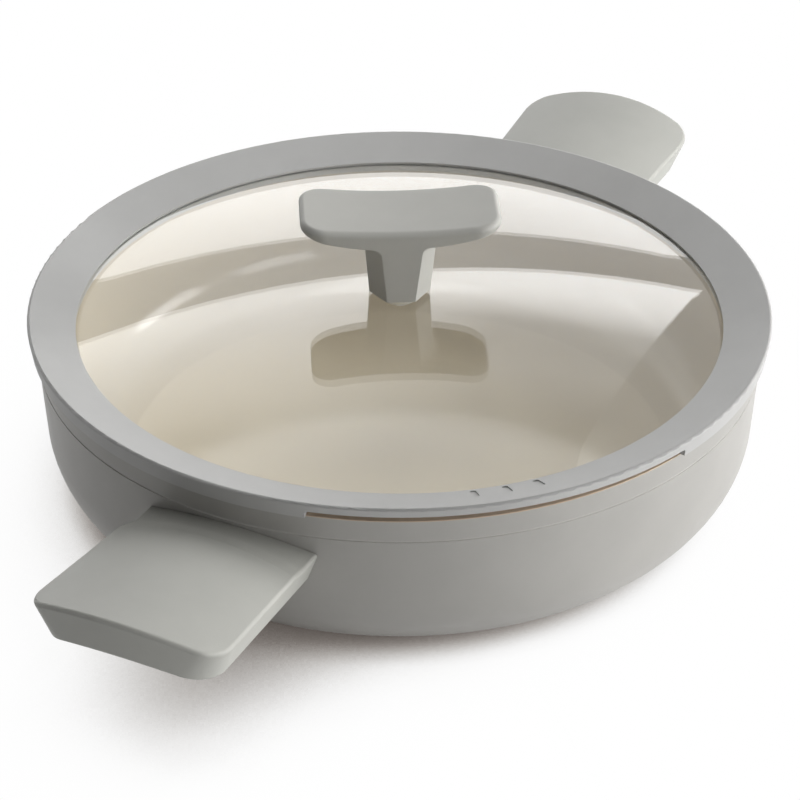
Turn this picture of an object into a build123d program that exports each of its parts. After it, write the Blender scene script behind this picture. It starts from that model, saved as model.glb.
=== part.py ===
"""Saute pan with a glass lid: two side handles, a T-shaped knob and a dished silicone lid rim.

The origin is the centre of the base, on the surface that the pan stands on. +Z is up and +X
points along the front handle. All lengths are in millimetres, and angles are in degrees.
"""
from build123d import *
from math import cos, radians, sin, sqrt, tan
import os

# Pan body
inner_diameter = 280.0        # cooking diameter at the rim
pan_height = 69.4             # top of the rim above the surface
wall_thickness = 3.2          # metal only
coating_thickness = 0.4       # ceramic layer on the inside and over the rim
floor_thickness = 4.6         # metal between the surface of the base and the coating
wall_draft = 3.5              # the wall leans outward by this angle
corner_radius = 33.0          # outside, between the wall and the base
inner_corner_radius = 29.0
groove_drop = 9.4             # centre of the fine groove below the rim
groove_width = 0.9
groove_depth = 0.45

# Steel disc on the base
disc_radius = 102.0
disc_thickness = 1.6
disc_proud = 0.4              # the disc alone touches the stove
disc_gap = 0.1                # between the edge of the disc and its pocket
disc_ring_count = 5
disc_ring_pitch = 17.0
disc_ring_width = 1.2
disc_ring_depth = 0.25

# Handle grips
handle_reach = 223.6          # pan centre to the middle of the end
handle_end_bulge = 6.2        # how far the middle of the end stands out past its corners
handle_root_width = 76.4      # top edges, where the grip meets the wall
handle_end_width = 79.0       # top edges, at the end corners
handle_side_slant = 0.37      # inward run of the sides for each unit of depth
handle_end_slant = 0.12       # the same for the end face
handle_corner_radius = 12.0   # end corners, at the top edges
handle_corner_spread = 0.25   # growth of that radius for each unit of depth
handle_seam = 0.3             # between the grip and the wall
handle_crown = 7.7            # middle of the top above its side edges
handle_root_top = 58.1        # crest height at the wall
handle_dip_top = 58.3         # crest height in the hollow before the ramp
handle_ramp_top = 61.5        # crest height where the ramp ends
handle_end_top = 67.4         # crest height at the end
handle_dip_run = 5.4          # from the rim of the wall out to the hollow
handle_ramp_run = 9.0         # from the hollow out to the top of the ramp
handle_root_low = 45.0        # underside at the wall, on the centre line
handle_end_low = 51.7         # underside at the end, on the centre line
handle_root_low_crown = 8.2   # middle of the underside above its side edges, at the wall
handle_end_low_crown = 8.6    # the same at the end
handle_edge_round = 1.5
handle_low_round = 1.2
handle_crease_round = 3.0
handle_dip_round = 12.0

# Handle brackets, each welded to the wall inside its grip
bracket_thickness = 3.0
bracket_width = 26.0
bracket_reach = 34.0          # length of the tongue beyond the foot
bracket_height = 51.6         # underside of the tongue
bracket_foot_width = 31.0
bracket_foot_height = 5.8
bracket_foot_drop = 0.9       # centre of the foot below the centre of the tongue
bracket_foot_thickness = 2.4
bracket_foot_round = 1.5
bracket_end_radius = 6.0
bracket_clearance = 0.3       # all round the bracket in its pocket

# Handle screws, driven from below
screw_reach = 170.0           # pan centre to the screw
screw_diameter = 5.0
screw_head_diameter = 9.0
screw_head_height = 2.4
screw_head_round = 0.6
screw_length = 6.0            # under the head
screw_socket_size = 3.0       # across the flats
screw_socket_depth = 1.5
screw_hole_clearance = 0.05   # radial, in the threaded hole
screw_pass_clearance = 0.25   # radial, in the plain hole
screw_head_clearance = 0.4    # radial, round the head
screw_boss_diameter = 15.0
screw_boss_drop = 1.2         # the boss below the underside
screw_seat_thickness = 2.6    # grip left between the head and the bracket's pocket

# Lid glass
glass_thickness = 4.0
glass_rise = 12.0             # centre of the glass above its surface at the sight edge
glass_centre_height = 82.0    # top of the glass at the centre
glass_edge_round = 1.2
glass_hole_diameter = 10.0
glass_fit = 0.1               # between the glass and its groove in the rim

# Lid rim, silicone
rim_outer_radius = 146.9      # top outer edge
rim_low_radius = 145.8        # lower outer edge
rim_top_height = 76.8         # top outer edge
glass_edge_wall = 3.1         # between the glass's edge and the inner face of the plug
lip_cover = 4.5               # how far the inner lip covers the glass
lip_thickness = 0.8           # inner lip above the glass
rim_seat_gap = 0.3            # between the rim and the top of the pan
rim_edge_round = 0.8
plug_clearance = 0.7          # between the plug and the coated wall
plug_thickness = 2.2
plug_depth = 8.7              # below the seat
plug_draft = 1.0              # extra inset of the plug at its lower edge
under_lip_thickness = 1.5     # silicone below the glass
under_lip_reach = 4.0         # how far it goes in under the glass

# Pouring gap and strainer in the lid rim
pour_centre = 42.5            # direction of its middle, from the front handle
pour_spread = 59.6            # angle from end to end
pour_height = 3.2
pour_end_round = 1.4
strainer_count = 9
strainer_pitch = 5.3
strainer_width = 3.4
strainer_inset = 1.6          # inner mouth of a channel inside the plug's inner face
strainer_floor = 1.0          # silicone left below a channel
strainer_mouth_height = 2.3   # inner mouth
strainer_lift_wall = 2.4      # depth of the channel up the outside of the plug
mark_count = 3
mark_centre = 43.2            # direction of the middle mark, from the front handle
mark_pitch = 5.3
mark_offset = 4.9             # from the edge of the inner lip out to a mark's centre
mark_length = 7.6
mark_width = 2.5
mark_depth = 0.5

# Knob
knob_turn = 119.4             # direction of the bar, from the front handle
knob_length = 79.2
knob_depth = 38.6
knob_height = 37.6            # ends of the bar above the glass
knob_saddle = 2.6             # middle of the top below its ends
knob_end_thickness = 3.6
knob_middle_thickness = 8.6
knob_draft = 12.5
knob_corner_radius = 10.0
knob_top_round = 2.0
knob_low_round = 0.8
knob_base_gap = 0.3           # between the stem and the glass
stem_front_width = 11.2       # flat front of the stem, at its base
stem_front_spread = 5.2       # how much wider that flat is under the bar
stem_width = 24.0             # across the corners, at the base
stem_spread = 4.4             # how much wider that is under the bar
stem_side_flat = 3.0          # flat side of the stem, at its base
stem_side_spread = 9.0        # how much wider that is under the bar
stem_overlap = 3.0            # the stem runs this far up into the bar
stem_root_round = 4.2

# Knob fixing, from the knob down to the screw under the glass
insert_diameter = 8.0
insert_length = 14.0
insert_flange_diameter = 11.0
insert_flange_thickness = 1.4
insert_hole_depth = 11.0
insert_clearance = 0.05
seal_diameter = 16.0          # upper seal, between the knob and the glass
seal_thickness = 1.0
gasket_diameter = 15.0        # lower gasket, under the glass
gasket_thickness = 1.0
gasket_sleeve_length = 3.0    # it runs up round the screw in the hole of the glass
washer_diameter = 13.0
washer_thickness = 0.8
knob_screw_diameter = 5.0
knob_screw_length = 17.0
knob_screw_head_diameter = 8.0
knob_screw_head_height = 2.0
knob_screw_head_round = 0.7
knob_screw_slot_width = 1.2
knob_screw_slot_depth = 0.9
knob_screw_clearance = 0.3    # radial, in the seal, gasket and washer
stack_gap = 0.1               # between one piece of the fixing and the next

overrun = 2.0                 # cutting shapes run past what they cut
level_facing = 0.85           # a face counts as level when its normal is at least this upright
side_facing = 0.6             # a face counts as a side when its normal is less upright than this
joint_band_share = 0.125      # share of the bar's thickness in which the stem's joint edges lie

# Values that follow from those above
inner_radius = inner_diameter / 2
rim_radius = inner_radius + coating_thickness + wall_thickness
metal_top = pan_height - coating_thickness
base_height = disc_proud
floor_height = base_height + floor_thickness
wall_run = tan(radians(wall_draft))
grip_start = rim_radius / 2
dip_reach = rim_radius + handle_dip_run
ramp_reach = dip_reach + handle_ramp_run
rim_seat = pan_height + rim_seat_gap
plug_bottom = rim_seat - plug_depth
plug_radius = inner_radius - plug_clearance
plug_low_radius = plug_radius - plug_depth * wall_run - plug_draft
plug_inner_radius = plug_low_radius - plug_thickness
glass_radius = plug_inner_radius - glass_edge_wall
sight_radius = glass_radius - lip_cover
glass_sphere = (sight_radius**2 + glass_rise**2) / (2 * glass_rise)
sphere_centre = glass_centre_height - glass_sphere
knob_base = glass_centre_height + knob_base_gap
knob_top = glass_centre_height + knob_height
knob_run = tan(radians(knob_draft))
bar_middle_top = knob_top - knob_saddle
bar_middle_low = bar_middle_top - knob_middle_thickness
bar_end_low = knob_top - knob_end_thickness


def wall_radius(height):
    """Outer radius of the pan's wall at a height above the surface."""
    return rim_radius - (pan_height - height) * wall_run


def dome_height(radius, depth=0.0):
    """Height of the glass at a radius, at a depth below its top face."""
    return sphere_centre + sqrt((glass_sphere - depth)**2 - radius**2)


def inner_wall(offset):
    """Inside line of the pan from the rim to the axis, at a distance in from the metal."""
    top = metal_top + offset
    low = floor_height + offset
    start = wall_radius(top) - wall_thickness - offset
    foot = wall_radius(low) - wall_thickness - offset
    return FilletPolyline((start, top), (foot, low), (0, low), radius=inner_corner_radius - offset)


def pan_outside(gap):
    """Solid cone of the pan's outer wall, grown by a gap, for cutting what meets the wall."""
    high = handle_end_top + overrun
    with BuildPart() as core:
        with BuildSketch(Plane.XZ):
            with BuildLine():
                Polyline(
                    (0, 0),
                    (wall_radius(0) + gap, 0),
                    (wall_radius(high) + gap, high),
                    (0, high),
                    close=True,
                )
            make_face()
        revolve(axis=Axis.Z)
    return core.part


# The metal shell, spun about the axis
with BuildPart() as pan_body:
    with BuildSketch(Plane.XZ):
        with BuildLine():
            outside = FilletPolyline(
                (0, base_height),
                (wall_radius(base_height), base_height),
                (wall_radius(metal_top), metal_top),
                radius=corner_radius,
            )
            inside = inner_wall(0)
            Line(outside @ 1, inside @ 0)
            Line(inside @ 1, outside @ 0)
        make_face()
    revolve(axis=Axis.Z)
    with BuildSketch(Plane.XZ):
        with Locations((wall_radius(pan_height - groove_drop), pan_height - groove_drop)):
            Ellipse(groove_depth, groove_width / 2)
    revolve(axis=Axis.Z, mode=Mode.SUBTRACT)
    with BuildSketch(Plane.XY.offset(base_height)):
        Circle(disc_radius + disc_gap)
    extrude(amount=disc_thickness - disc_proud, mode=Mode.SUBTRACT)

# The ceramic layer follows the inside and rolls over the top of the rim
with BuildPart() as interior_coating:
    with BuildSketch(Plane.XZ):
        with BuildLine():
            back = inner_wall(0)
            front = inner_wall(coating_thickness)
            Line(front @ 1, back @ 1)
            edge = Polyline(
                back @ 0,
                (wall_radius(metal_top), metal_top),
                (wall_radius(metal_top), pan_height - coating_thickness / 2),
                (wall_radius(metal_top) - coating_thickness / 2, pan_height),
            )
            Line(edge @ 1, front @ 0)
        make_face()
    revolve(axis=Axis.Z)

# The steel disc is pressed into the base, with shallow turned rings on its face
with BuildPart() as base_disc:
    with BuildSketch():
        Circle(disc_radius)
    extrude(amount=disc_thickness)
    with BuildSketch(Plane.XZ):
        for ring in range(1, disc_ring_count + 1):
            with Locations((ring * disc_ring_pitch, 0)):
                Rectangle(disc_ring_width, 2 * disc_ring_depth)
    revolve(axis=Axis.Z, mode=Mode.SUBTRACT)


def underside(reach):
    """Height of a grip's underside on its centre line, and the crown of the underside there."""
    share = (reach - rim_radius) / (handle_reach - rim_radius)
    height = handle_root_low + share * (handle_end_low - handle_root_low)
    crown = handle_root_low_crown + share * (handle_end_low_crown - handle_root_low_crown)
    return height, crown


def grip_plan(height):
    """Outline of a grip seen from above, at a height: it narrows below the top edges."""
    drop = handle_end_top - handle_crown - height
    tip = handle_reach - drop * handle_end_slant
    corner = tip - handle_end_bulge
    spread = (handle_end_width - handle_root_width) / 2 / (handle_reach - handle_end_bulge - rim_radius)
    half_end = handle_end_width / 2 - drop * handle_side_slant
    half_start = half_end - (corner - grip_start) * spread
    with BuildSketch(Plane.XY.offset(height)) as outline:
        with BuildLine():
            Polyline(
                (corner, half_end),
                (grip_start, half_start),
                (grip_start, -half_start),
                (corner, -half_end),
            )
            ThreePointArc((corner, -half_end), (tip, 0), (corner, half_end))
        make_face()
        corner_round = handle_corner_radius + drop * handle_corner_spread
        fillet(outline.vertices().group_by(Axis.X)[-1], radius=corner_round)
    return outline.sketch


def slab_section(reach, top):
    """Section of the bent slab across the handle, at a distance from the pan's centre."""
    low, low_crown = underside(reach)
    half = handle_end_width / 2
    with BuildSketch(Plane.YZ.offset(reach)) as section:
        with BuildLine():
            upper = ThreePointArc((-half, top - handle_crown), (0, top), (half, top - handle_crown))
            lower = ThreePointArc((half, low - low_crown), (0, low), (-half, low - low_crown))
            Line(upper @ 1, lower @ 0)
            Line(lower @ 1, upper @ 0)
        make_face()
    return section.sketch


# Bent slab with the grip's crowned top, the hollow before the ramp and the hollow underside
with BuildPart() as slab:
    add(slab_section(grip_start, handle_root_top))
    add(slab_section(dip_reach, handle_dip_top))
    add(slab_section(ramp_reach, handle_ramp_top))
    add(slab_section(handle_reach + overrun, handle_end_top))
    loft(ruled=True)

# The front bracket: a foot that follows the wall, and a tongue tapped for the screw
tongue_middle = bracket_height + bracket_thickness / 2
foot_start = wall_radius(tongue_middle) - overrun
foot_end = wall_radius(tongue_middle) + bracket_foot_thickness
tongue_end = foot_end + bracket_reach


def bracket_shape(clearance):
    """The bracket's foot and tongue, grown by a clearance on every side."""
    with BuildPart() as shape:
        with BuildSketch(Plane.YZ.offset(foot_start)):
            with Locations((0, tongue_middle - bracket_foot_drop)):
                RectangleRounded(
                    bracket_foot_width + 2 * clearance,
                    bracket_foot_height + 2 * clearance,
                    bracket_foot_round + clearance,
                )
        extrude(amount=foot_end - foot_start + clearance)
        with BuildSketch(Plane.XY.offset(bracket_height - clearance)) as tongue:
            half = bracket_width / 2 + clearance
            with BuildLine():
                end = tongue_end + clearance
                Polyline((foot_start, half), (end, half), (end, -half), (foot_start, -half), close=True)
            make_face()
            fillet(tongue.vertices().group_by(Axis.X)[-1], radius=bracket_end_radius + clearance)
        extrude(amount=bracket_thickness + 2 * clearance)
    return shape.part


with BuildPart() as bracket:
    add(bracket_shape(0))
    add(pan_outside(0), mode=Mode.SUBTRACT)
    with Locations((screw_reach, 0, bracket_height + bracket_thickness)):
        Hole(screw_diameter / 2 + screw_hole_clearance)

# The front screw stands in its counterbore, with its head below and its tip in the tongue
screw_seat = bracket_height - bracket_clearance - screw_seat_thickness

with BuildPart() as screw:
    with BuildSketch(Plane.XY.offset(screw_seat - screw_head_height)):
        with Locations((screw_reach, 0)):
            Circle(screw_head_diameter / 2)
    extrude(amount=screw_head_height)
    fillet(screw.edges().group_by(Axis.Z)[0], radius=screw_head_round)
    with BuildSketch(Plane.XY.offset(screw_seat)):
        with Locations((screw_reach, 0)):
            Circle(screw_diameter / 2)
    extrude(amount=screw_length)
    with BuildSketch(Plane.XY.offset(screw_seat - screw_head_height)):
        with Locations((screw_reach, 0)):
            RegularPolygon(screw_socket_size / 2, 6, major_radius=False)
    extrude(amount=screw_socket_depth, mode=Mode.SUBTRACT)

# The front grip: plan outline and bent slab meet, then the wall, pocket and screw hole are cut
with BuildPart() as grip:
    add(grip_plan(handle_root_low - handle_root_low_crown - overrun))
    add(grip_plan(handle_end_top + overrun))
    loft(ruled=True)
    add(slab.part, mode=Mode.INTERSECT)
    crease = grip.edges().filter_by_position(Axis.X, ramp_reach, ramp_reach)
    fillet(crease.sort_by(Axis.Z)[-1], radius=handle_crease_round)
    dip = grip.edges().filter_by_position(Axis.X, dip_reach, dip_reach)
    fillet(dip.sort_by(Axis.Z)[-1], radius=handle_dip_round)
    for facing, edge_round in ((1, handle_edge_round), (-1, handle_low_round)):
        level = grip.faces().filter_by(lambda face: face.normal_at().Z * facing > level_facing)
        sides = grip.faces().filter_by(lambda face: abs(face.normal_at().Z) < side_facing)
        sides = sides.filter_by(lambda face: face.center().X > grip_start + overrun)
        fillet(level.edges() & sides.edges(), radius=edge_round)
    boss_low = underside(screw_reach)[0] - screw_boss_drop
    with BuildSketch(Plane.XY.offset(boss_low)):
        with Locations((screw_reach, 0)):
            Circle(screw_boss_diameter / 2)
    extrude(amount=bracket_height - boss_low)
    with Locations(Location((screw_reach, 0, boss_low), (180, 0, 0))):
        CounterBoreHole(
            radius=screw_diameter / 2 + screw_pass_clearance,
            counter_bore_radius=screw_head_diameter / 2 + screw_head_clearance,
            counter_bore_depth=screw_seat - boss_low,
            depth=bracket_height - boss_low,
        )
    add(bracket_shape(bracket_clearance), mode=Mode.SUBTRACT)
    add(pan_outside(handle_seam), mode=Mode.SUBTRACT)


def glass_outline(grow):
    """Half section of the domed glass, grown on every side."""
    edge = glass_radius + grow
    with BuildSketch(Plane.XZ) as outline:
        with BuildLine():
            top = ThreePointArc(
                (0, dome_height(0, -grow)),
                (edge / 2, dome_height(edge / 2, -grow)),
                (edge, dome_height(edge, -grow)),
            )
            depth = glass_thickness + grow
            low = ThreePointArc(
                (0, dome_height(0, depth)),
                (edge / 2, dome_height(edge / 2, depth)),
                (edge, dome_height(edge, depth)),
            )
            Line(top @ 0, low @ 0)
            Line(top @ 1, low @ 1)
        make_face()
        fillet(outline.vertices().group_by(Axis.X)[-1], radius=glass_edge_round + grow)
    return outline.sketch


# Domed glass with a ground edge and a hole for the knob's screw
with BuildPart() as lid_glass:
    add(glass_outline(0))
    revolve(axis=Axis.Z)
    with Locations((0, 0, glass_centre_height)):
        Hole(glass_hole_diameter / 2)

# A channel climbs from the plug's inner face to the pouring gap
with BuildPart() as strainer_channel:
    channel_low = plug_bottom + strainer_floor
    channel_inner = plug_inner_radius - strainer_inset
    channel_outer = plug_radius + plug_clearance
    channel_lift = plug_radius - strainer_lift_wall
    with BuildSketch(Plane.XZ):
        with BuildLine():
            Polyline(
                (channel_inner, channel_low),
                (channel_outer, channel_low),
                (channel_outer, rim_seat + pour_height / 2),
                (channel_lift, rim_seat + pour_height / 2),
                (channel_lift, channel_low + 2 * strainer_mouth_height),
                (channel_inner, channel_low + strainer_mouth_height),
                close=True,
            )
        make_face()
    extrude(amount=strainer_width / 2, both=True)

# One engraved mark, square to the sloping top of the rim
lip_height = dome_height(sight_radius) + glass_fit + lip_thickness
top_slope = (rim_top_height - lip_height) / (rim_outer_radius - sight_radius)

with BuildPart() as mark:
    mark_plane = Plane(
        origin=(sight_radius + mark_offset, 0, lip_height + mark_offset * top_slope),
        x_dir=(1, 0, top_slope),
        z_dir=(-top_slope, 0, 1),
    )
    with BuildSketch(mark_plane):
        SlotOverall(mark_length, mark_width)
    extrude(amount=mark_depth, both=True)

# The gap that the liquid pours through, between the rim and the top of the pan
with BuildPart() as pour_gap:
    with BuildSketch(Plane.XZ):
        with BuildLine():
            Polyline(
                (plug_radius, rim_seat - overrun),
                (rim_outer_radius + overrun, rim_seat - overrun),
                (rim_outer_radius + overrun, rim_seat + pour_height),
                (plug_radius, rim_seat + pour_height),
                close=True,
            )
        make_face()
    revolve(axis=Axis.Z, revolution_arc=pour_spread)
    flats = pour_gap.faces().filter_by(GeomType.PLANE)
    ends = flats.filter_by(lambda face: abs(face.normal_at().Z) < side_facing)
    ceiling = pour_gap.faces().sort_by(Axis.Z)[-1]
    fillet(ends.edges() & ceiling.edges(), radius=pour_end_round)

# The rim: dished top, seat on the pan, plug inside the wall and a groove that holds the glass
with BuildPart() as lid_rim:
    under_lip_low = dome_height(glass_radius, glass_thickness) - under_lip_thickness
    under_lip_radius = glass_radius - under_lip_reach
    with BuildSketch(Plane.XZ) as rim_outline:
        with BuildLine():
            Polyline(
                (sight_radius, dome_height(sight_radius, glass_thickness / 2)),
                (sight_radius, lip_height),
                (rim_outer_radius, rim_top_height),
                (rim_low_radius, rim_seat),
                (plug_radius, rim_seat),
                (plug_low_radius, plug_bottom),
                (plug_inner_radius, plug_bottom),
                (plug_inner_radius, under_lip_low),
                (under_lip_radius, under_lip_low),
                (under_lip_radius, dome_height(sight_radius, glass_thickness / 2)),
                close=True,
            )
        make_face()
        fillet(rim_outline.vertices().sort_by(Axis.Y)[-1], radius=rim_edge_round)
        fillet(rim_outline.vertices().group_by(Axis.Y)[0], radius=rim_edge_round)
    revolve(axis=Axis.Z)
    add(glass_outline(glass_fit))
    revolve(axis=Axis.Z, mode=Mode.SUBTRACT)
    with Locations(Rotation(0, 0, pour_centre - pour_spread / 2)):
        add(pour_gap.part, mode=Mode.SUBTRACT)
    for index in range(strainer_count):
        turn = pour_centre + (index - (strainer_count - 1) / 2) * strainer_pitch
        add(strainer_channel.part.rotate(Axis.Z, turn), mode=Mode.SUBTRACT)
    for index in range(mark_count):
        turn = mark_centre + (index - (mark_count - 1) / 2) * mark_pitch
        add(mark.part.rotate(Axis.Z, turn), mode=Mode.SUBTRACT)

# Planes of the knob: seen from above, and seen from the front with the bar across
bar_direction = Vector(cos(radians(knob_turn)), sin(radians(knob_turn)), 0)
knob_plan = Plane(origin=(0, 0, 0), x_dir=bar_direction, z_dir=(0, 0, 1))
knob_front = Plane(origin=(0, 0, 0), x_dir=bar_direction, z_dir=bar_direction.cross(Vector(0, 0, 1)))


def knob_half_depth(height):
    """Half the knob's depth at a height: front and back are one slope from bar to base."""
    return knob_depth / 2 - (knob_top - height) * knob_run


def stem_plan(height):
    """Eight-sided outline of the stem at a height, wider under the bar than at its base.

    Its slanted sides run on past the knob's front and back, which the tapered block cuts.
    """
    share = (height - knob_base) / (bar_middle_low - knob_base)
    front = (stem_front_width + share * stem_front_spread) / 2
    side = (stem_width + share * stem_spread) / 2
    flat = (stem_side_flat + share * stem_side_spread) / 2
    deep = knob_half_depth(height)
    past = front - (side - front) * overrun / (deep - flat)
    with BuildSketch(knob_plan.offset(height)) as outline:
        with BuildLine():
            Polyline(
                (past, deep + overrun),
                (side, flat),
                (side, -flat),
                (past, -deep - overrun),
                (-past, -deep - overrun),
                (-side, -flat),
                (-side, flat),
                (-past, deep + overrun),
                close=True,
            )
        make_face()
    return outline.sketch


# Height of each fixing piece's lower face, from the glass upward and downward
seal_low = glass_centre_height + stack_gap
insert_low = seal_low + seal_thickness + stack_gap
glass_low = glass_centre_height - glass_thickness
gasket_low = glass_low - stack_gap - gasket_thickness
washer_low = gasket_low - stack_gap - washer_thickness
screw_head_top = washer_low - stack_gap

# Tapered block that gives the knob its leaning front, back and ends
with BuildPart() as knob_block:
    for height in (knob_base, knob_top + overrun):
        narrowing = (knob_top - height) * knob_run
        with BuildSketch(knob_plan.offset(height)):
            Rectangle(knob_length - 2 * narrowing, knob_depth - 2 * narrowing)
    loft(ruled=True)
    leaning_edges = knob_block.edges().filter_by(lambda edge: edge.bounding_box().size.Z > overrun)
    fillet(leaning_edges, radius=knob_corner_radius)

# The knob: a saddle-topped bar on a tapering eight-sided stem, with a pocket for its insert
with BuildPart() as knob_grip:
    with BuildSketch(knob_front):
        with BuildLine():
            half_bar = knob_length / 2
            upper = ThreePointArc((-half_bar, knob_top), (0, bar_middle_top), (half_bar, knob_top))
            lower = ThreePointArc((half_bar, bar_end_low), (0, bar_middle_low), (-half_bar, bar_end_low))
            Line(upper @ 1, lower @ 0)
            Line(lower @ 1, upper @ 0)
        make_face()
    extrude(amount=knob_depth, both=True)
    add(stem_plan(knob_base))
    add(stem_plan(bar_middle_low + stem_overlap))
    loft(ruled=True)
    add(knob_block.part, mode=Mode.INTERSECT)
    fillet(knob_grip.faces().sort_by(Axis.Z)[-1].edges(), radius=knob_top_round)
    joint_band = knob_middle_thickness * joint_band_share
    joint_edges = knob_grip.edges().filter_by(
        lambda edge: abs(edge.center().Z - bar_middle_low) < joint_band
        and stem_side_flat < edge.length < stem_front_width + stem_front_spread
    )
    fillet(joint_edges, radius=stem_root_round)
    bar_faces = knob_grip.faces().filter_by(lambda face: face.center().Z > bar_middle_low - joint_band)
    lows = bar_faces.filter_by(lambda face: face.normal_at().Z < -level_facing)
    sides = knob_grip.faces().filter_by(lambda face: abs(face.normal_at().Z) < side_facing)
    fillet(lows.edges() & sides.edges(), radius=knob_low_round)
    with BuildSketch(knob_plan.offset(knob_base)):
        Circle(seal_diameter / 2 + knob_screw_clearance)
    extrude(amount=insert_low - knob_base, mode=Mode.SUBTRACT)
    with BuildSketch(knob_plan.offset(insert_low)):
        Circle(insert_flange_diameter / 2 + insert_clearance)
    extrude(amount=insert_flange_thickness + insert_clearance, mode=Mode.SUBTRACT)
    with BuildSketch(knob_plan.offset(insert_low)):
        Circle(insert_diameter / 2 + insert_clearance)
    extrude(amount=insert_length + insert_clearance, mode=Mode.SUBTRACT)

# Brass insert moulded into the stem, tapped for the knob's screw
with BuildPart() as knob_insert:
    with BuildSketch(Plane.XY.offset(insert_low)):
        Circle(insert_flange_diameter / 2)
    extrude(amount=insert_flange_thickness)
    with BuildSketch(Plane.XY.offset(insert_low)):
        Circle(insert_diameter / 2)
    extrude(amount=insert_length)
    with BuildSketch(Plane.XY.offset(insert_low)):
        Circle(knob_screw_diameter / 2 + insert_clearance)
    extrude(amount=insert_hole_depth, mode=Mode.SUBTRACT)

# Upper seal in the recess under the stem
with BuildPart() as knob_seal:
    with BuildSketch(Plane.XY.offset(seal_low)):
        Circle(seal_diameter / 2)
        Circle(knob_screw_diameter / 2 + knob_screw_clearance, mode=Mode.SUBTRACT)
    extrude(amount=seal_thickness)

# Lower gasket, with a sleeve that keeps the screw off the glass
with BuildPart() as knob_gasket:
    with BuildSketch(Plane.XY.offset(gasket_low)):
        Circle(gasket_diameter / 2)
    extrude(amount=gasket_thickness)
    with BuildSketch(Plane.XY.offset(gasket_low)):
        Circle(glass_hole_diameter / 2 - stack_gap)
    extrude(amount=gasket_thickness + gasket_sleeve_length)
    with BuildSketch(Plane.XY.offset(gasket_low)):
        Circle(knob_screw_diameter / 2 + knob_screw_clearance)
    extrude(amount=gasket_thickness + gasket_sleeve_length, mode=Mode.SUBTRACT)

# Steel washer under the gasket
with BuildPart() as knob_washer:
    with BuildSketch(Plane.XY.offset(washer_low)):
        Circle(washer_diameter / 2)
        Circle(knob_screw_diameter / 2 + knob_screw_clearance, mode=Mode.SUBTRACT)
    extrude(amount=washer_thickness)

# Slotted screw, up through the washer, gasket, glass and seal into the insert
with BuildPart() as knob_screw:
    with BuildSketch(Plane.XY.offset(screw_head_top - knob_screw_head_height)):
        Circle(knob_screw_head_diameter / 2)
    extrude(amount=knob_screw_head_height)
    fillet(knob_screw.edges().group_by(Axis.Z)[0], radius=knob_screw_head_round)
    with BuildSketch(Plane.XY.offset(screw_head_top)):
        Circle(knob_screw_diameter / 2)
    extrude(amount=knob_screw_length)
    with BuildSketch(Plane.XY.offset(screw_head_top - knob_screw_head_height)):
        Rectangle(knob_screw_head_diameter + overrun, knob_screw_slot_width)
    extrude(amount=knob_screw_slot_depth, mode=Mode.SUBTRACT)

pieces = {
    "pan_body": pan_body.part,
    "interior_coating": interior_coating.part,
    "base_disc": base_disc.part,
    "lid_glass": lid_glass.part,
    "lid_rim": lid_rim.part,
    "knob_grip": knob_grip.part,
    "knob_insert": knob_insert.part,
    "knob_seal": knob_seal.part,
    "knob_gasket": knob_gasket.part,
    "knob_washer": knob_washer.part,
    "knob_screw": knob_screw.part,
}

# The back handle is the front one turned half way round the pan
half_turn = 180
for side, turn in (("front", 0), ("back", half_turn)):
    pieces[f"handle_grip_{side}"] = grip.part.rotate(Axis.Z, turn)
    pieces[f"handle_bracket_{side}"] = bracket.part.rotate(Axis.Z, turn)
    pieces[f"handle_screw_{side}"] = screw.part.rotate(Axis.Z, turn)

os.makedirs("parts", exist_ok=True)
for name, piece in pieces.items():
    piece.label = name
    export_step(piece, f"parts/{name}.step")
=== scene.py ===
"""Saute pan with a glass lid: materials, lamps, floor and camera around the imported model."""

from math import cos, radians, sin

import bpy
from mathutils import Matrix, Vector


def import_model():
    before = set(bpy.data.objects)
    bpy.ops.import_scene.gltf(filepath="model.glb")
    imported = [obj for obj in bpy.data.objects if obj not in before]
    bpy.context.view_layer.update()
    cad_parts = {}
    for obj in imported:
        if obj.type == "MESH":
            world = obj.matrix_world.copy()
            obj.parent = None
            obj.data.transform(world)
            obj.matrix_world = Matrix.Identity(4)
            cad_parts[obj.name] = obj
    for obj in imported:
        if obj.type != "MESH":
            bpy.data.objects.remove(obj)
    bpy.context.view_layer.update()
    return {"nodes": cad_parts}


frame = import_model()
nodes = frame["nodes"]

VIEW_TURN = radians(116.14)    # the photograph's view, about the vertical axis
FOCAL_PIXELS = 3043
PICTURE_WIDTH = 800
SENSOR_WIDTH = 36              # millimetres
NOISE_ROUGHNESS = 0.55
GRAIN_SCALE = 2600             # moulding grain: noise scale, and height in metres
GRAIN_HEIGHT = 0.00004
FLOOR_SIZE = 8
FLOOR_DROP = 0.0003            # keeps the floor clear of the base
SHADE_REACH = 0.15             # how far the object closes off the floor's light, for its painted shadow
LAMP_SIDE = 0.8


def studio(right, away, up):
    """A place given as the camera sees the pan, in metres, in the model's own frame."""
    c, s = cos(VIEW_TURN), sin(VIEW_TURN)
    return Vector((right * c - away * s, right * s + away * c, up))


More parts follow.
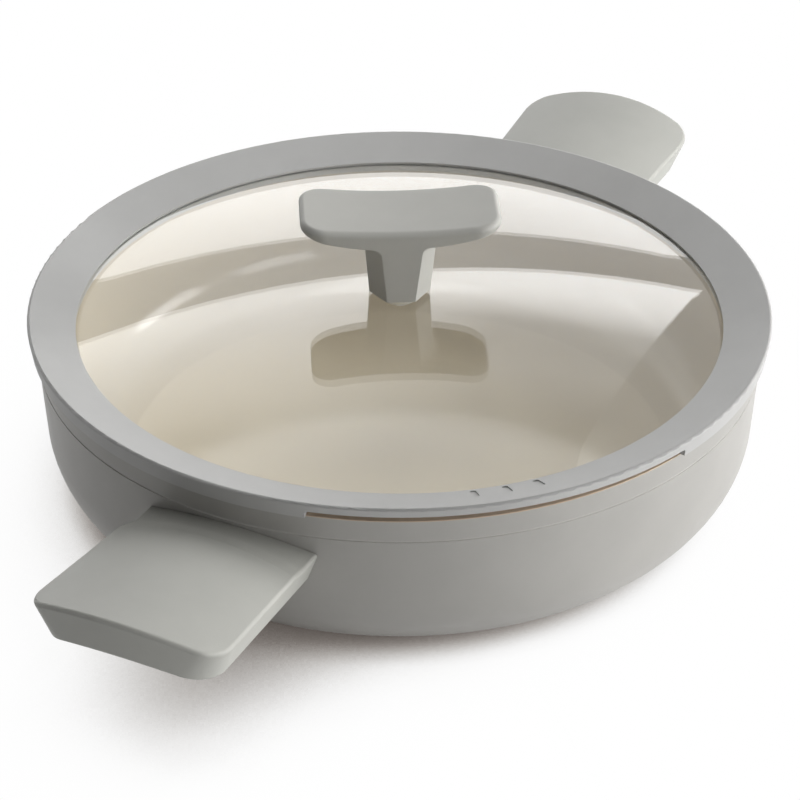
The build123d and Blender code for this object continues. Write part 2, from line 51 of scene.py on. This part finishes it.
class Look:
    """A node material that is built line by line."""

    def __init__(self, name):
        self.mat = bpy.data.materials.new(name)
        self.mat.use_nodes = True
        self.tree = self.mat.node_tree
        self.tree.nodes.clear()
        self.out = self.tree.nodes.new("ShaderNodeOutputMaterial")

    def node(self, kind, **settings):
        made = self.tree.nodes.new(kind)
        for key, value in settings.items():
            setattr(made, key, value)
        return made

    def link(self, a, b):
        self.tree.links.new(a, b)

    def place(self):
        if not hasattr(self, "coords"):
            self.coords = self.node("ShaderNodeTexCoord").outputs["Object"]
        return self.coords

    def noise(self, scale, detail, stretch=None):
        n = self.node("ShaderNodeTexNoise")
        n.inputs["Scale"].default_value = scale
        n.inputs["Detail"].default_value = detail
        n.inputs["Roughness"].default_value = NOISE_ROUGHNESS
        place = self.place()
        if stretch:
            m = self.node("ShaderNodeMapping")
            m.inputs["Scale"].default_value = stretch
            self.link(place, m.inputs["Vector"])
            place = m.outputs["Vector"]
        self.link(place, n.inputs["Vector"])
        return n.outputs["Fac"]

    def ramp(self, fac, stops):
        r = self.node("ShaderNodeValToRGB")
        while len(r.color_ramp.elements) < len(stops):
            r.color_ramp.elements.new(0.5)
        for element, (at, colour) in zip(r.color_ramp.elements, stops):
            element.position = at
            element.color = (*colour, 1)
        self.link(fac, r.inputs["Fac"])
        return r.outputs["Color"]

    def span(self, fac, low, high):
        m = self.node("ShaderNodeMapRange")
        m.inputs["To Min"].default_value = low
        m.inputs["To Max"].default_value = high
        self.link(fac, m.inputs["Value"])
        return m.outputs["Result"]

    def band(self, low, high, outside, inside):
        """The inside colour between two heights, and the outside colour elsewhere."""
        split = self.node("ShaderNodeSeparateXYZ")
        self.link(self.place(), split.inputs[0])
        level = self.node("ShaderNodeMapRange")
        level.inputs["From Min"].default_value = low
        level.inputs["From Max"].default_value = high
        self.link(split.outputs[2], level.inputs["Value"])
        ends = [(0.0, (0, 0, 0)), (0.05, (1, 1, 1)), (0.95, (1, 1, 1)), (1.0, (0, 0, 0))]
        mix = self.node("ShaderNodeMix", data_type="RGBA")
        self.link(self.ramp(level.outputs["Result"], ends), mix.inputs[0])
        self.link(outside, mix.inputs[6])
        self.link(inside, mix.inputs[7])
        return mix.outputs[2]

    def bump(self, height, distance, strength=1.0, normal=None):
        b = self.node("ShaderNodeBump")
        b.inputs["Distance"].default_value = distance
        b.inputs["Strength"].default_value = strength
        self.link(height, b.inputs["Height"])
        if normal:
            self.link(normal, b.inputs["Normal"])
        return b.outputs["Normal"]

    def surface(self, colour, roughness, normal=None, **sockets):
        p = self.node("ShaderNodeBsdfPrincipled")
        for name, value in (("Base Color", colour), ("Roughness", roughness)):
            if isinstance(value, bpy.types.NodeSocket):
                self.link(value, p.inputs[name])
            elif name == "Base Color":
                p.inputs[name].default_value = (*value, 1)
            else:
                p.inputs[name].default_value = value
        for name, value in sockets.items():
            p.inputs[name.replace("_", " ")].default_value = value
        if normal:
            self.link(normal, p.inputs["Normal"])
        self.link(p.outputs[0], self.out.inputs["Surface"])
        return p


def tint(colour, share):
    return tuple(c * share for c in colour)


def moulded(name, colour, roughness, band=None):
    """Fine matte moulding: a little mottling, and a grain too fine to see from a step away.

    A band is two heights and the share of the colour that shows between them: painted light that lifts the
    shade in a recess."""
    look = Look(name)
    mottle = look.noise(38, 5)
    shade = look.ramp(mottle, [(0.3, tint(colour, 0.97)), (0.7, tint(colour, 1.03))])
    if band:
        low, high, share = band
        painted_band_colour = look.ramp(mottle, [(0.3, tint(colour, 0.97 * share)), (0.7, tint(colour, 1.03 * share))])
        shade = look.band(low, high, shade, painted_band_colour)
    rough = look.span(look.noise(90, 3), roughness - 0.04, roughness + 0.04)
    normal = look.bump(look.noise(GRAIN_SCALE, 2), GRAIN_HEIGHT)
    look.surface(shade, rough, normal, Specular_IOR_Level=0.4)
    return look.mat


GROOVE = 0.0600               # height of the groove turned in the body
RIM = 0.0694                  # top of the pan
PAINT = (0.406, 0.396, 0.374)
SILICONE = (0.468, 0.466, 0.457)
# painted shade: the warm tan that the cream rim top is given, for its shade in the pouring gap
SHADED_RIM_TAN = (0.58, 0.45, 0.335)
GRIP = (0.445, 0.445, 0.412)
KNOB = (0.435, 0.431, 0.401)
CREAM = (0.575, 0.503, 0.385)

# the paint is 1.15 times lighter in the groove: painted light that lifts the groove's shade
paint = moulded("body_paint", PAINT, 0.46, band=(GROOVE - 0.0005, GROOVE + 0.0005, 1.15))
silicone = moulded("rim_silicone", SILICONE, 0.5)
grip_plastic = moulded("grip_plastic", GRIP, 0.5)
knob_plastic = moulded("knob_plastic", KNOB, 0.48)
seal = moulded("seal_silicone", (0.28, 0.28, 0.28), 0.5)
gasket = moulded("gasket_silicone", (0.62, 0.60, 0.54), 0.4)


def ceramic():
    """Cream ceramic: satin gloss, with the faint waviness of a sprayed layer. Over the rim top it is a
    darker, warmer tan: painted shade, standing in for the shaded rim in the pouring gap.
    """
    look = Look("cream_ceramic")
    mottle = look.noise(30, 4)
    shade, painted_rim_shade = (look.ramp(mottle, [(0.3, tint(c, 0.985)), (0.7, tint(c, 1.015))]) for c in (CREAM, SHADED_RIM_TAN))
    shade = look.band(RIM - 0.0003, RIM + 0.001, shade, painted_rim_shade)
    rough = look.span(look.noise(60, 3), 0.13, 0.18)
    normal = look.bump(look.noise(420, 3), 0.00002)
    look.surface(shade, rough, normal, Specular_IOR_Level=0.5)
    return look.mat


def brushed(name, colour, roughness, rings=False):
    """Steel, with turned rings about the axis or fine streaks."""
    look = Look(name)
    if rings:
        split = look.node("ShaderNodeSeparateXYZ")
        look.link(look.place(), split.inputs[0])
        flat = look.node("ShaderNodeCombineXYZ")
        look.link(split.outputs[0], flat.inputs[0])
        look.link(split.outputs[1], flat.inputs[1])
        length = look.node("ShaderNodeVectorMath", operation="LENGTH")
        look.link(flat.outputs[0], length.inputs[0])
        line = look.node("ShaderNodeCombineXYZ")
        look.link(length.outputs["Value"], line.inputs[0])
        streak = look.node("ShaderNodeTexNoise")
        streak.inputs["Scale"].default_value = 2200
        streak.inputs["Detail"].default_value = 3
        look.link(line.outputs[0], streak.inputs["Vector"])
        grain = streak.outputs["Fac"]
    else:
        grain = look.noise(900, 3, stretch=(1, 1, 0.05))
    shade = look.ramp(grain, [(0.3, tint(colour, 0.9)), (0.7, tint(colour, 1.08))])
    rough = look.span(grain, roughness - 0.06, roughness + 0.08)
    look.surface(shade, rough, look.bump(grain, 0.00002), Metallic=1.0)
    return look.mat


def clear_glass():
    """Clear glass that lets the light of the lamps through to the pan below."""
    look = Look("lid_glass")
    p = look.surface((0.985, 0.99, 0.985), 0.0, None, Transmission_Weight=1.0, IOR=1.5)
    path = look.node("ShaderNodeLightPath")
    clear = look.node("ShaderNodeBsdfTransparent")
    clear.inputs["Color"].default_value = (0.93, 0.94, 0.93, 1)
    mix = look.node("ShaderNodeMixShader")
    look.link(path.outputs["Is Shadow Ray"], mix.inputs[0])
    look.link(p.outputs[0], mix.inputs[1])
    look.link(clear.outputs[0], mix.inputs[2])
    look.link(mix.outputs[0], look.out.inputs["Surface"])
    return look.mat


steel = brushed("brushed_steel", (0.60, 0.60, 0.60), 0.32)
disc_steel = brushed("turned_steel", (0.58, 0.58, 0.58), 0.3, rings=True)
bracket_metal = brushed("cast_aluminium", (0.62, 0.62, 0.62), 0.42)
brass = brushed("brass", (0.70, 0.52, 0.24), 0.3)
cream = ceramic()
glass = clear_glass()

LOOKS = {
    "pan_body": paint,
    "interior_coating": cream,
    "base_disc": disc_steel,
    "handle_grip_front": grip_plastic,
    "handle_grip_back": grip_plastic,
    "handle_bracket_front": bracket_metal,
    "handle_bracket_back": bracket_metal,
    "handle_screw_front": steel,
    "handle_screw_back": steel,
    "lid_glass": glass,
    "lid_rim": silicone,
    "knob_grip": knob_plastic,
    "knob_insert": brass,
    "knob_seal": seal,
    "knob_gasket": gasket,
    "knob_washer": steel,
    "knob_screw": steel,
}
for name, material in LOOKS.items():
    part = nodes[name]
    part.data.materials.clear()
    part.data.materials.append(material)

cam_data = bpy.data.cameras.new("camera")
cam = bpy.data.objects.new("camera", cam_data)
bpy.context.scene.collection.objects.link(cam)
cam_data.sensor_width = SENSOR_WIDTH
cam_data.lens = SENSOR_WIDTH * FOCAL_PIXELS / PICTURE_WIDTH
away = studio(0.0002, 0.8457, -0.5336).normalized()
upward = studio(-0.0013, 0.5336, 0.8457)
upward = (upward - away * upward.dot(away)).normalized()
across = away.cross(upward)
cam.matrix_world = Matrix.Translation(studio(0, -1.039, 0.6857)) @ Matrix(
    (across, upward, -away)
).transposed().to_4x4()
bpy.context.scene.camera = cam
bpy.context.scene.view_settings.view_transform = "Standard"


def white_rays(tree):
    """1 for rays from the camera, also by way of gloss and glass: these see the plain white studio.

    A ray that has left a matte surface counts as light on the object, and gives 0."""
    path = tree.nodes.new("ShaderNodeLightPath")

    def step(operation, first, second):
        made = tree.nodes.new("ShaderNodeMath")
        made.operation = operation
        tree.links.new(first, made.inputs[0])
        if isinstance(second, float):
            made.inputs[1].default_value = second
        else:
            tree.links.new(second, made.inputs[1])
        return made.outputs[0]

    share = step("MAXIMUM", path.outputs["Is Camera Ray"], path.outputs["Is Glossy Ray"])
    share = step("MAXIMUM", share, path.outputs["Is Transmission Ray"])
    return step("MULTIPLY", share, step("LESS_THAN", path.outputs["Diffuse Depth"], 0.5))


def floor():
    """Pale matte floor. Seen directly it is a white table with a painted shadow: an emission, darker where
    the object closes off its ambient light.

    A painted gradient lifts it toward the right, as if the light came mostly from there, so the painted
    shade is deeper at the left."""
    look = Look("floor")
    diffuse = look.node("ShaderNodeBsdfDiffuse")
    diffuse.inputs["Color"].default_value = (0.85, 0.85, 0.85, 1)
    opening = look.node("ShaderNodeAmbientOcclusion")
    opening.samples = 16
    opening.inputs["Distance"].default_value = SHADE_REACH
    # painted light: a clamped gradient that lifts the floor toward the right
    toward = look.node("ShaderNodeVectorMath", operation="DOT_PRODUCT")
    toward.inputs[1].default_value = studio(1.2, 0.4, 0)
    look.link(look.place(), toward.inputs[0])
    painted_side_lift = look.node("ShaderNodeClamp")
    painted_side_lift.inputs["Min"].default_value = -0.3
    painted_side_lift.inputs["Max"].default_value = 0.2
    look.link(toward.outputs["Value"], painted_side_lift.inputs["Value"])
    light = look.node("ShaderNodeMath", operation="ADD")
    look.link(opening.outputs["AO"], light.inputs[0])
    look.link(painted_side_lift.outputs[0], light.inputs[1])
    # painted shadow: occlusion plus the side gradient, from warm dark grey to white
    shade = look.ramp(light.outputs[0], [
        (0.0, (0.085, 0.073, 0.066)),
        (0.075, (0.157, 0.140, 0.127)),
        (0.125, (0.239, 0.216, 0.199)),
        (0.175, (0.362, 0.339, 0.319)),
        (0.225, (0.521, 0.501, 0.482)),
        (0.275, (0.669, 0.657, 0.643)),
        (0.325, (0.818, 0.810, 0.804)),
        (0.375, (0.915, 0.912, 0.909)),
        (0.425, (0.967, 0.966, 0.966)),
        (0.5, (0.992, 0.992, 0.992)),
        (0.7, (1.0, 1.0, 1.0)),
    ])
    white = look.node("ShaderNodeEmission")
    look.link(shade, white.inputs["Color"])
    mix = look.node("ShaderNodeMixShader")
    look.link(white_rays(look.tree), mix.inputs[0])
    look.link(diffuse.outputs[0], mix.inputs[1])
    look.link(white.outputs[0], mix.inputs[2])
    look.link(mix.outputs[0], look.out.inputs["Surface"])
    bpy.ops.mesh.primitive_plane_add(size=FLOOR_SIZE, location=(0, 0, -FLOOR_DROP))
    plane = bpy.context.object
    plane.name = "floor"
    plane.data.materials.append(look.mat)


def world():
    made = bpy.data.worlds.new("world")
    bpy.context.scene.world = made
    made.use_nodes = True
    tree = made.node_tree
    tree.nodes.clear()
    out = tree.nodes.new("ShaderNodeOutputWorld")
    seen = tree.nodes.new("ShaderNodeBackground")
    seen.inputs["Color"].default_value = (1, 1, 1, 1)
    seen.inputs["Strength"].default_value = 1.0
    light = tree.nodes.new("ShaderNodeBackground")
    light.inputs["Color"].default_value = (1, 1, 1, 1)
    light.inputs["Strength"].default_value = 0.0
    mix = tree.nodes.new("ShaderNodeMixShader")
    tree.links.new(white_rays(tree), mix.inputs[0])
    tree.links.new(light.outputs[0], mix.inputs[1])
    tree.links.new(seen.outputs[0], mix.inputs[2])
    tree.links.new(mix.outputs[0], out.inputs["Surface"])


def lamp(name, at, power, glossy):
    """A square soft box aimed at the pan; gloss and glass show it only where glossy is true."""
    data = bpy.data.lights.new(name, "AREA")
    data.shape = "RECTANGLE"
    data.size = data.size_y = LAMP_SIDE
    data.energy = power
    made = bpy.data.objects.new(name, data)
    bpy.context.scene.collection.objects.link(made)
    made.location = at
    made.rotation_mode = "QUATERNION"
    made.rotation_quaternion = (centre - at).to_track_quat("-Z", "Y")
    made.visible_glossy = glossy
    made.visible_transmission = glossy


def card(name, corners, left, right):
    """A white card that only glossy surfaces see. Corners: low left, low right, high right, high left.

    Left and right list its strength by height in metres; the middle blends them."""
    mesh = bpy.data.meshes.new(name)
    mesh.from_pydata([tuple(c) for c in corners], [], [(0, 1, 2, 3)])
    uv = mesh.uv_layers.new(name="card")
    for loop, place in zip(uv.data, ((0, 0), (1, 0), (1, 1), (0, 1))):
        loop.uv = place
    made = bpy.data.objects.new(name, mesh)
    bpy.context.scene.collection.objects.link(made)
    look = Look(name)
    split = look.node("ShaderNodeSeparateXYZ")
    look.link(look.place(), split.inputs[0])
    mix = look.node("ShaderNodeMix", data_type="RGBA")
    most = max(v for _, v in left + right)
    for socket, stops in ((mix.inputs[6], left), (mix.inputs[7], right)):
        level = look.node("ShaderNodeMapRange")
        low, high = stops[0][0], stops[-1][0]
        level.inputs["From Min"].default_value = low
        level.inputs["From Max"].default_value = high
        look.link(split.outputs[2], level.inputs["Value"])
        shades = [((z - low) / (high - low), (v / most,) * 3) for z, v in stops]
        look.link(look.ramp(level.outputs["Result"], shades), socket)
    where = look.node("ShaderNodeUVMap", uv_map="card")
    across = look.node("ShaderNodeSeparateXYZ")
    look.link(where.outputs[0], across.inputs[0])
    look.link(look.ramp(across.outputs[0], [(0.55, (0, 0, 0)), (0.8, (1, 1, 1))]), mix.inputs[0])
    glow = look.node("ShaderNodeEmission")
    glow.inputs["Strength"].default_value = most
    look.link(mix.outputs[2], glow.inputs["Color"])
    look.link(glow.outputs[0], look.out.inputs["Surface"])
    mesh.materials.append(look.mat)
    made.visible_camera = False
    made.visible_diffuse = False
    made.visible_shadow = False


floor()
world()
centre = Vector((0, 0, 0.05))


def bearing(azimuth, elevation, reach=1.7):
    """A place seen from the pan: azimuth 0 is behind it, 90 to its right."""
    a, e = radians(azimuth), radians(elevation)
    return centre + studio(reach * cos(e) * sin(a), reach * cos(e) * cos(a), reach * sin(e))


LAMPS = (
    ("back_right", 45, 38, 12.9, False),
    ("right", 90, 12, 21.0, True),
    ("front_right", 135, 12, 11.0, True),
    ("left", 270, 12, 1.6, True),
    ("back_left", 315, 12, 3.8, False),
    ("overhead", 0, 90, 6.0, True),
)
for name, azimuth, elevation, power, glossy in LAMPS:
    lamp(name, bearing(azimuth, elevation), power, glossy)

BACK = 1.6                     # metres behind the middle of the pan
card(
    "back_card",
    [studio(-1.2, BACK, 0.05), studio(1.2, BACK, 0.05), studio(1.2, BACK, 0.54), studio(-1.2, BACK, 0.78)],
    left=[(0.05, 2.5), (0.8, 2.5)],
    right=[(0.05, 3.3), (0.8, 3.3)],
)
card(
    "top_card",
    [studio(-1.2, BACK, 1.164), studio(0.58, BACK, 0.772), studio(0.50, BACK, 4.5), studio(-1.2, BACK, 4.5)],
    left=[
        (0.9, 3.0), (1.05, 3.1), (1.15, 2.85), (1.28, 2.4), (1.45, 1.95),
        (1.7, 1.45), (1.95, 0.7), (2.3, 0.35), (4.5, 0.35),
    ],
    right=[
        (0.8, 3.7), (0.95, 3.6), (1.05, 2.8), (1.15, 1.5), (1.28, 1.35),
        (1.45, 1.4), (1.7, 0.95), (1.95, 0.5), (2.3, 0.35), (4.5, 0.35),
    ],
)
